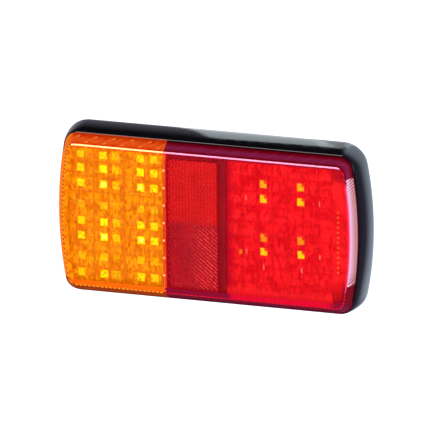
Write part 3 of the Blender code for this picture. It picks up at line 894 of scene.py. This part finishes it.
def make_seam(material):
    """The welded joint between the two lenses: a low ridge with a row of weld beads."""
    ridge = box("lens_seam", (SEAM_X - SEAM_LOW, SEAM_X + SEAM_HIGH),
                (16.5 * MM, FACE_HEIGHT + 0.04 * MM), (-SEAM_HALF, SEAM_HALF))
    for step in range(-3, 4):
        z = step * BEAD_PITCH
        top = FACE_HEIGHT + CROWN * (1 - (2 * z / FACE[1]) ** 2)
        profile = [(0, top), (0.35 * MM, top - 0.05 * MM), (BEAD_RADIUS, top - 0.3 * MM),
                   (BEAD_RADIUS, SEAM_FOOT), (0, SEAM_FOOT)]
        combine(ridge, "UNION", turned("bead", SEAM_X, z, profile, sides=14))
    fit_out(ridge, MODULE, material)


# ======== lens materials
AMBER_DEEP, AMBER_PALE = (184, 82, 0), (220, 148, 2)
RED_DEEP, RED_PALE = (190, 0, 14), (255, 34, 36)


def bars(coordinate, places, half_width, soft=0.3):
    """Soft-edged bars at (centre, strength) places in mm along one coordinate."""
    total = 0.0
    for centre, strength in places:
        bar = remap(away(coordinate, centre), half_width - soft, half_width + soft, strength, 0.0)
        total = calc("MAXIMUM", total, bar)
    return total


def patches(at, columns, rows, half_size, soft=(0.3, 0.3)):
    """Soft-edged rectangles where columns and rows cross."""
    return times(bars(at.x, columns, half_size[0], soft[0]), bars(at.z, rows, half_size[1], soft[1]))


def lens_face(name, deep, pale, alpha):
    """Clear tinted plastic, seen square on."""
    material, at = new_material(name, Roughness=0.03, IOR=1.49, Alpha=alpha)
    return finish(material, mix(blotches(at, 22.0), deep, pale), mottle(at, 30.0, detail=0.0), 0.25, 0.03)


def teeth(at):
    """1 on the dark ends of the ribs inside the lens, 0 between them."""
    return remap(wave(calc("ADD", at.x, at.z), RIB_PITCH / MM), 0.5, -0.5)


def lens_edge(name, dark, tooth, lit, glow, top=33.1):
    """The rounded front edge: toothed by the ribs behind it, with a painted highlight along the top."""
    material, at = new_material(name, Roughness=0.25, IOR=1.15, Emission_Strength=glow)
    # Painted highlight: the top of the edge takes the lit colour in patches.
    upper = times(remap(at.z, top, top + 0.35), remap(away(at.x), 64.5, 63.5))
    pane = times(remap(at.x, 65.5, 66.5), remap(away(at.z), 26.5, 24.0), 0.85)
    over_pane = mix(remap(at.y, -19.2, -18.5), (226, 50, 96), (255, 182, 216))
    body = mix(pane, mix(teeth(at), tooth, dark), over_pane)
    share = times(upper, blotches(at, 1.6, 0.35, 0.65, 0.7))
    colour = mix(share, body, lit)
    # The painted highlight glows at full strength; the rest of the edge glows at 0.35.
    shine = calc("MAXIMUM", upper, 0.35)
    connect(material, mix(shine, (0, 0, 0, 1), colour), "Emission Color")
    return finish(material, colour, mottle(at, 5.0), 0.2, 0.02)


def lens_rim(name, deep, pale, low):
    """The border of the front, cloudy because the thick corner of the lens lies behind it."""
    material, at = new_material(name, Roughness=0.06, IOR=1.4, Emission_Strength=0.55)
    seam = SEAM_X / MM
    cloud = blotches(at, 2.4, 0.38, 0.62, detail=5.0)
    colour = mix(cloud, deep, pale)
    colour = mix(remap(at.z, -30.5, -31.5, 0.0, 0.8), colour, low)
    # Painted shade: darker beside the reflector panel and towards the right end.
    by_panel = times(remap(at.x, 13.0, 11.0), remap(at.x, seam, seam + 0.2))
    dark = calc("MAXIMUM", by_panel, remap(at.x, 57.0, 63.0))
    colour = mix(times(dark, 0.85), colour, (92, 8, 36))
    return finish_lit(material, colour, cloud, 0.2, 0.03)


def lens_wall(name, shade, deep, pale, gleam, gleam_share, highlight_dot, end, low):
    """The sloping wall: painted shade darkest by the base, slanting flutes, a soft painted reflection strip
    (the gleam) and rows of small painted highlights.
    """
    material, at = new_material(name, Roughness=0.15, IOR=1.22, Alpha=0.92, Emission_Strength=0.3)
    height = times(at.y, -1.0)
    upper_half = remap(at.z, 0.0, 10.0)
    slant = calc("ADD", at.x, times(height, FLUTE_SLANT))
    flutes = calc("ADD", times(wave(slant, 4.3), 0.4), times(wave(slant, 1.45), 0.6))
    cloudy = times(mottle(at, 2.4), 3.0)
    streaks = remap(calc("ADD", flutes, cloudy), 0.3, 2.7)
    body = mix(streaks, deep, pale)
    # Crests of the flutes, where the painted reflection and the painted highlights are strongest.
    flute_glint = remap(wave(slant, FLUTE_PITCH / MM), 0.86, 1.0)
    # Painted reflection strip (the gleam) across the upper half of the wall.
    strip = times(remap(away(height, 16.6), 0.5, 1.9, gleam_share, 0.0),
                  remap(flute_glint, 0.0, 1.0, 0.6, 1.0), upper_half)
    # Painted shade by the base, under the painted reflection strip.
    colour = mix(remap(height, 13.4, 14.6), shade, mix(strip, body, gleam))
    # Rows of small painted highlights on the flute crests.
    rows = bars(height, ((14.9, 1.0), (17.7, 0.7)), 0.35, 0.2)
    highlight_dots = times(rows, remap(flute_glint, 0.5, 1.0), upper_half, 0.7)
    colour = mix(highlight_dots, colour, highlight_dot)
    colour = mix(remap(at.x, -64.0, -66.0, 0.0, 0.85), colour, end)
    # Painted shade: darker on the bottom wall.
    colour = mix(remap(at.z, -31.0, -33.0, 0.0, 0.85), colour, low)
    near_front = times(remap(height, 17.4, 18.0), remap(at.z, 31.0, 29.0))
    colour = mix(times(teeth(at), near_front, 0.8), colour, low)
    return finish_lit(material, colour, streaks, 0.35, 0.12)


# ======== optic materials
# Where light from the LEDs shows in the lenslets: (place in mm, strength) along x and along z.
AMBER_COLUMNS = ((-60.2, 0.8), (-49.3, 1.0), (-43.3, 0.45), (-31.5, 1.0), (-25.0, 0.8))
AMBER_ROWS = ((29.0, 0.7), (22.4, 0.95), (15.1, 1.0), (4.7, 0.4), (-3.1, 0.9), (-10.3, 1.0), (-20.0, 0.4),
              (-28.1, 0.75))
BRIGHT_COLUMNS = ((-49.3, 1.0), (-31.5, 1.0))
BRIGHT_ROWS = ((15.1, 1.0), (-10.3, 1.0))
RED_COLUMNS = ((27.3, 0.95), (45.0, 1.0))
RED_ROWS = ((22.2, 0.7), (15.1, 1.0), (-3.5, 0.45), (-10.2, 1.0))
NOTCH_COLUMNS = [(place + 1.0, 1.0) for place, _ in RED_COLUMNS]
NOTCH_ROWS = [(place + 1.2, 0.9) for place, _ in RED_ROWS]
STRAY_COLUMNS, STRAY_ROWS = ((16.2, 0.7),), ((-11.3, 0.8),)
OUTER_DASHES = (((19.0, 0.8), (53.9, 0.9)), ((15.0, 0.8), (-10.6, 0.7)))
INNER_DASHES = (((27.2, 0.8), (45.3, 0.9)), ((-17.7, 0.8),))


def lenslet_lines(coordinate, start, width=0.12):
    """1 on the joins between lenslets, 0 in between."""
    phase = calc("DIVIDE", calc("SUBTRACT", coordinate, start), PILLOW_PITCH / MM)
    nearest = away(calc("FRACT", phase), 0.5)
    return remap(nearest, 0.5 - width, 0.5)


def optic_surface(at, deep, pale, smudge, start):
    """Cloudy tint, darker lenslet joins and small dark smudges."""
    stretched = add_after("VectorMath", {0: at.vector, 1: (1.0, 1.0, 0.35)}, operation="MULTIPLY")
    streaky = at._replace(vector=stretched.outputs[0])
    cloud = calc("ADD", mottle(at, 6.0, detail=5.0), mottle(streaky, 1.1, detail=1.0))
    colour = mix(remap(cloud, 0.8, 1.2), deep, pale)
    joins = calc("MAXIMUM", lenslet_lines(at.x, start), lenslet_lines(at.z, PILLOW_PITCH / MM / 2))
    colour = mix(times(joins, 0.8), colour, deep)
    thirds = calc("MAXIMUM", lenslet_lines(times(at.x, 3.0), start, 0.2),
                  lenslet_lines(times(at.z, 3.0), 0.0, 0.2))
    colour = mix(times(thirds, 0.4), colour, deep)
    spots = blotches(at, 1.9, 0.54, 0.66, to_high=0.7, detail=2.0)
    return mix(spots, colour, smudge)


def optic_material(name, glow):
    return new_material(name, Roughness=0.25, IOR=1.25, Emission_Strength=glow)


def finish_optic(material, at, colour):
    return finish_lit(material, colour, mottle(at, 2.2), 0.35, 0.1)


def amber_optic(start):
    """Amber lenslets with a grid of lit squares, some of them with a brighter core."""
    material, at = optic_material("amber_optic", 0.62)
    colour = optic_surface(at, AMBER_DEEP, AMBER_PALE, (150, 62, 0), start)
    glow = times(patches(at, AMBER_COLUMNS, AMBER_ROWS, (1.7, 1.8)), blotches(at, 1.1, 0.36, 0.56, 0.35))
    colour = mix(glow, colour, (228, 252, 0))
    core = patches(at, BRIGHT_COLUMNS, BRIGHT_ROWS, (0.9, 1.0))
    colour = mix(times(core, 0.9), colour, (206, 255, 110))
    return finish_optic(material, at, colour)


def red_optic(start):
    """Red lenslets, with painted shade by the reflector and painted light along the bottom edge: notched lit
    squares, one stray patch and thin dashes.
    """
    material, at = optic_material("red_optic", 0.4)
    colour = optic_surface(at, RED_DEEP, RED_PALE, (160, 0, 16), start)
    # Painted shade beside the reflector.
    colour = mix(remap(at.x, 9.0, 15.0, 0.75, 0.0), colour, (125, 0, 36))
    # Painted light: brighter towards the bottom edge.
    colour = mix(remap(at.z, -27.5, -31.0, 0.0, 0.7), colour, (255, 44, 52))
    notch = patches(at, NOTCH_COLUMNS, NOTCH_ROWS, (0.7, 0.9), (0.2, 0.3))
    glow = times(patches(at, RED_COLUMNS, RED_ROWS, (1.55, 1.8), (0.2, 0.2)),
                 calc("SUBTRACT", 1.0, notch), blotches(at, 1.3, 0.3, 0.5, 0.55))
    colour = mix(glow, colour, (255, 240, 0))
    stray = patches(at, STRAY_COLUMNS, STRAY_ROWS, (0.7, 1.1))
    colour = mix(stray, colour, (255, 170, 10))
    for columns, rows in (OUTER_DASHES, INNER_DASHES):
        dashes = patches(at, columns, rows, (0.3, 1.2), (0.15, 0.3))
        colour = mix(dashes, colour, (255, 150, 140))
    return finish_optic(material, at, colour)


def end_screen_material():
    """Red lenslet strip: painted orange glints along its ridge, and dark red corners."""
    material, at = optic_material("red_end_strip", 0.4)
    colour = mix(blotches(at, 5.0, 0.32, 0.68, detail=5.0), RED_DEEP, RED_PALE)
    corner = remap(away(at.z), 24.0, 28.0, 0.0, 0.75)
    colour = mix(corner, colour, (120, 0, 18))
    # Painted glints in a row along the ridge.
    row = remap(wave(at.z, RIDGE_PITCH / MM, "COSINE"), 0.2, 0.8)
    stretch = times(remap(at.z, 13.5, 12.0), remap(at.z, -19.5, -18.0))
    glint = times(bars(at.x, ((RIDGE_X / MM, 0.6),), 0.45, 0.25), row, stretch)
    return finish_optic(material, at, mix(glint, colour, (255, 150, 60)))


def prism_material():
    """Brighter in the upper half; the lower half is deeper, with painted glints in bright slanting rows at
    one side.
    """
    material, at = new_material("reflex_prism", Roughness=0.3, IOR=1.3, Emission_Strength=0.4)
    cloud = blotches(at, 7.0)
    upper = mix(cloud, (166, 2, 8), (190, 6, 12))
    lower = mix(cloud, (120, 2, 20), (150, 8, 28))
    split = remap(at.z, -2.0, 3.0)
    colour = mix(split, lower, upper)
    lean = times(at.x, 0.8)
    falling, rising = calc("ADD", lean, at.z), calc("SUBTRACT", at.z, lean)
    # Painted glints: bright slanting rows towards the lower right.
    rows = times(remap(wave(falling, 1.9), 0.1, 0.9), blotches(at, 0.9, 0.35, 0.6))
    corner = times(remap(at.x, -12.0, 1.0), remap(at.z, 5.0, -6.0))
    colour = mix(times(rows, corner), colour, (255, 76, 72))
    cross = times(wave(falling, 2.4), wave(rising, 2.4))
    net = times(remap(cross, 0.0, 0.7), remap(split, 0.0, 1.0, 0.25, 0.65))
    return finish_lit(material, mix(net, colour, (240, 46, 24)), mottle(at, 1.2), 0.3, 0.04)


def window_material():
    """Clear ribbed plastic over a lit strip: pinkish white in front, redder towards the base."""
    material, at = new_material("window_clear", Roughness=0.12, IOR=1.49, Alpha=0.9,
                                Emission_Strength=0.35)
    height = times(at.y, -1.0)
    along = calc("ADD", at.z, times(height, WINDOW_RIB_SLANT))
    rib = calc("ADD", wave(along, WINDOW_RIB_PITCH / MM), mottle(at, 1.5))
    rib = remap(rib, -0.2, 1.2)
    front = mix(rib, (192, 134, 168), (252, 210, 236))
    rear = mix(rib, (146, 78, 80), (220, 154, 150))
    colour = mix(remap(height, 14.4, 18.4), rear, front)
    foot = times(remap(at.z, -15.0, -23.0, 0.0, 0.85), remap(wave(along, 2.1), -0.3, 0.6))
    return finish_lit(material, mix(foot, colour, (120, 30, 50)), mottle(at, 2.0), 0.2, 0.03)


def seam_material():
    """Melted plastic: orange on the amber side, red on the other, and pale where the beads stand."""
    material, at = new_material("seam_plastic", Roughness=0.3, IOR=1.25, Emission_Strength=0.5)
    seam = SEAM_X / MM
    drift = blotches(at, 1.5, to_high=0.4)
    colour = mix(remap(at.x, seam, seam + 0.6), (240, 84, 10), (206, 18, 14))
    colour = mix(drift, colour, (255, 110, 50))
    bead = times(remap(wave(at.z, BEAD_PITCH / MM, "COSINE"), 0.88, 0.96),
                 remap(at.x, seam + 0.6, seam + 0.3))
    return finish_lit(material, mix(bead, colour, (255, 196, 120)), drift, 0.4, 0.05)


# ======== materials of what stays as it is
def zinc_material():
    """Zinc plate: spangled tint, uneven polish and a fine grain."""
    material, at = new_material("zinc_plate", Metallic=1.0)
    spangle = blotches(at, 1.6, detail=4.0)
    connect(material, blotches(at, 0.7, to_low=0.22, to_high=0.42), "Roughness")
    colour = mix(spangle, (176, 178, 180), (214, 214, 206))
    return finish(material, colour, mottle(at, 0.4), 0.5, 0.02)


def foam_material():
    """Closed-cell foam: small pits over a cloudy dark grey."""
    material, at = new_material("gasket_foam", Roughness=0.95)
    pits = cells(at, 1.6)
    return finish(material, mix(pits, (34, 34, 36), (66, 66, 68)), pits, 0.9, 0.25)


def board_material():
    """Green solder mask with copper runs showing through and small vias."""
    material, at = new_material("solder_mask", Roughness=0.35, Coat_Weight=0.4)
    bent = calc("ADD", at.z, times(mottle(at, 9.0, detail=0.0), 14.0))
    runs = remap(wave(bent, 2.6), 0.5, 0.7)
    holes = cells(at, 0.25)
    colour = mix(runs, (14, 84, 44), (24, 116, 60))
    colour = mix(remap(holes, 0.08, 0.11, 1.0, 0.0), colour, (190, 170, 110))
    return finish(material, colour, runs, 0.5, 0.05)


def led_material():
    """Cream-coloured package with a slight grain."""
    material, at = new_material("led_package", Roughness=0.35, Emission_Strength=0.2)
    grain = blotches(at, 0.8)
    return finish_lit(material, mix(grain, (236, 226, 170), (250, 240, 200)), grain, 0.3, 0.03)


def can_material():
    """Aluminium can, brushed round its side."""
    material, at = new_material("capacitor_can", Metallic=0.9)
    rings = remap(wave(at.y, 0.35), -1.0, 1.0)
    connect(material, mix(rings, (150, 154, 160), (190, 194, 198)), "Base Color")
    connect(material, blotches(at, 1.2, to_low=0.25, to_high=0.45), "Roughness")
    return material


def dress(material, *names):
    """Gives a better material to CAD nodes whose shape is kept."""
    for name in names:
        node = bpy.data.objects[name]
        node.data.materials.clear()
        node.data.materials.append(material)


def each(name, count=4):
    return [f"{name}_{number}" for number in range(1, count + 1)]


# Name, colour, drift, roughness from and to, grain, its depth, blotches, and the nodes.
KEPT_PLASTICS = (
    ("soft_rubber", (24, 24, 24), (36, 36, 35), 0.6, 0.85, 0.5, 0.04, 14.0,
     ("cable_grommet", "cable_gland", "module_seal")),
    ("satin_plastic", (30, 30, 32), (44, 44, 46), 0.35, 0.6, 0.35, 0.02, 14.0,
     ("module_tray", "amber_baffle", "plate_baffle")),
    ("dark_resin", (28, 28, 30), (46, 46, 48), 0.3, 0.5, 0.3, 0.02, 4.0,
     (*each("resistor"), "protection_diode")),
    # The white reflectors behind the lenses are painted in the colour of the light that reaches them through
    # the lens.
    ("white_under_reflex", (104, 0, 18), (140, 4, 26), 0.4, 0.6, 0.5, 0.02, 14.0, ("reflector_backing",)),
    ("white_under_amber", (214, 84, 4), (240, 112, 10), 0.3, 0.5, 0.5, 0.02, 14.0, ("indicator_reflector",)),
    ("white_under_red", (150, 2, 16), (190, 8, 24), 0.3, 0.5, 0.5, 0.02, 14.0, ("stop_tail_reflector",)),
    ("baffle_under_red", (40, 0, 22), (62, 0, 34), 0.5, 0.7, 0.35, 0.02, 14.0, ("reflex_baffle",)),
    ("terminal_green", (20, 128, 70), (34, 152, 86), 0.3, 0.5, 0.4, 0.02, 4.0, ("terminal_block",)),
)


def dress_nodes(zinc):
    for name, colour, drift, *finish_values, nodes in KEPT_PLASTICS:
        dress(plastic(name, colour, drift, *finish_values), *nodes)
    dress(foam_material(), "mounting_gasket")
    dress(zinc, "screw_washer_left", "screw_washer_right", *each("board_screw"))
    dress(board_material(), "circuit_board", "plate_board")
    dress(led_material(), *each("indicator_led"), *each("stop_tail_led"), *each("plate_led", 2))
    dress(can_material(), "smoothing_capacitor")


# ======== run
make_camera()
make_studio()
make_floor()
gloss_black = plastic("gloss_black", (6, 6, 9), (10, 10, 14), 0.05, 0.11, 0.9, 0.002)
zinc = zinc_material()
make_base(gloss_black)
for side in SIDES:
    make_stud(side, zinc)
    make_nut(side, zinc)
amber_parts = [
    lens_face("amber_face", (250, 130, 0), (255, 150, 0), 0.15),
    lens_edge("amber_edge", (112, 40, 2), (250, 150, 26), (255, 226, 150), 0.9),
    lens_wall("amber_wall", shade=(176, 50, 4), deep=(206, 30, 0), pale=(242, 84, 6), gleam=(250, 120, 50),
              gleam_share=0.5, highlight_dot=(255, 196, 96), end=(236, 124, 26), low=(116, 44, 8)),
    lens_rim("amber_rim", (186, 84, 2), (220, 124, 4), (218, 76, 4)),
]
red_parts = [
    lens_face("red_face", (220, 5, 20), (240, 15, 25), 0.2),
    lens_edge("red_edge", (146, 0, 22), (206, 10, 44), (255, 160, 196), 0.9),
    lens_wall("red_wall", shade=(50, 0, 10), deep=(104, 0, 14), pale=(130, 2, 22), gleam=(146, 44, 94),
              gleam_share=0.75, highlight_dot=(150, 16, 60), end=(90, 10, 36), low=(90, 10, 36)),
    lens_rim("red_rim", (190, 0, 20), (226, 6, 34), (176, 6, 36)),
]
reflex_parts = [
    lens_face("reflex_face", (200, 5, 20), (215, 10, 25), 0.15),
    lens_edge("reflex_edge", (196, 8, 28), (214, 14, 34), (255, 120, 140), 0.5, top=30.65),
    lens_edge("reflex_side", (176, 4, 26), (206, 12, 32), (206, 12, 32), 0.6, top=40.0),
]
end_strip = end_screen_material()
make_lenses(amber_parts, red_parts, reflex_parts, [window_material(), end_strip])
amber_range = (-FACE[0] / 2, AMBER_EDGE)
make_pillows("amber_lenslets", amber_range, amber_optic(amber_range[0] / MM), "indicator_optic", "amber_lens")
make_pillows("red_lenslets", RED_EDGES, red_optic(RED_EDGES[0] / MM), "stop_tail_optic", "red_lens")
make_end_screen(end_strip)
make_prisms(prism_material())
make_seam(seam_material())
dress_nodes(zinc)
